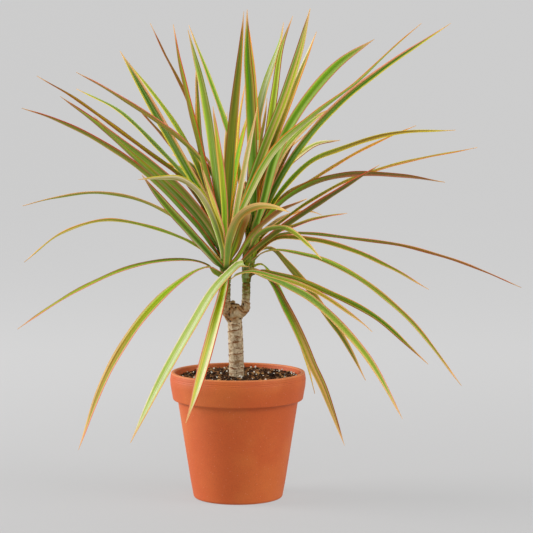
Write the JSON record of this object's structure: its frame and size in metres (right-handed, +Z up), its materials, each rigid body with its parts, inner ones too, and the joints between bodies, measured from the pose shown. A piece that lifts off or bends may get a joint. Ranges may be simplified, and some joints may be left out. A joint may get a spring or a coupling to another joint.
{
  "type": "potted dracaena marginata",
  "caption": "Two-headed houseplant with long arching striped strap leaves on a short woody cane, standing in a plain tapered clay pot with a rim band.",
  "frame": {"origin": "middle of the pot's foot, on the surface that the pot stands on", "axes": "+Z up along the pot's axis, +X to the viewer's right and -Y towards the viewer of the plant's best side"},
  "size_m": [0.5671, 0.4423, 0.5376],
  "materials": {
    "terracotta": "matte, unglazed, finely speckled",
    "potting_mix": "loose dark bark and peat with white perlite",
    "bark": "rough grey-beige bark with ring scars",
    "leaf": "satin green with pale stripes and red-pink edges"
  },
  "bodies": {
    "root": {"pot": "terracotta", "soil": "potting_mix", "trunk": "bark", "crown_left": "leaf", "crown_right": "leaf"}
  },
  "joints": []
}
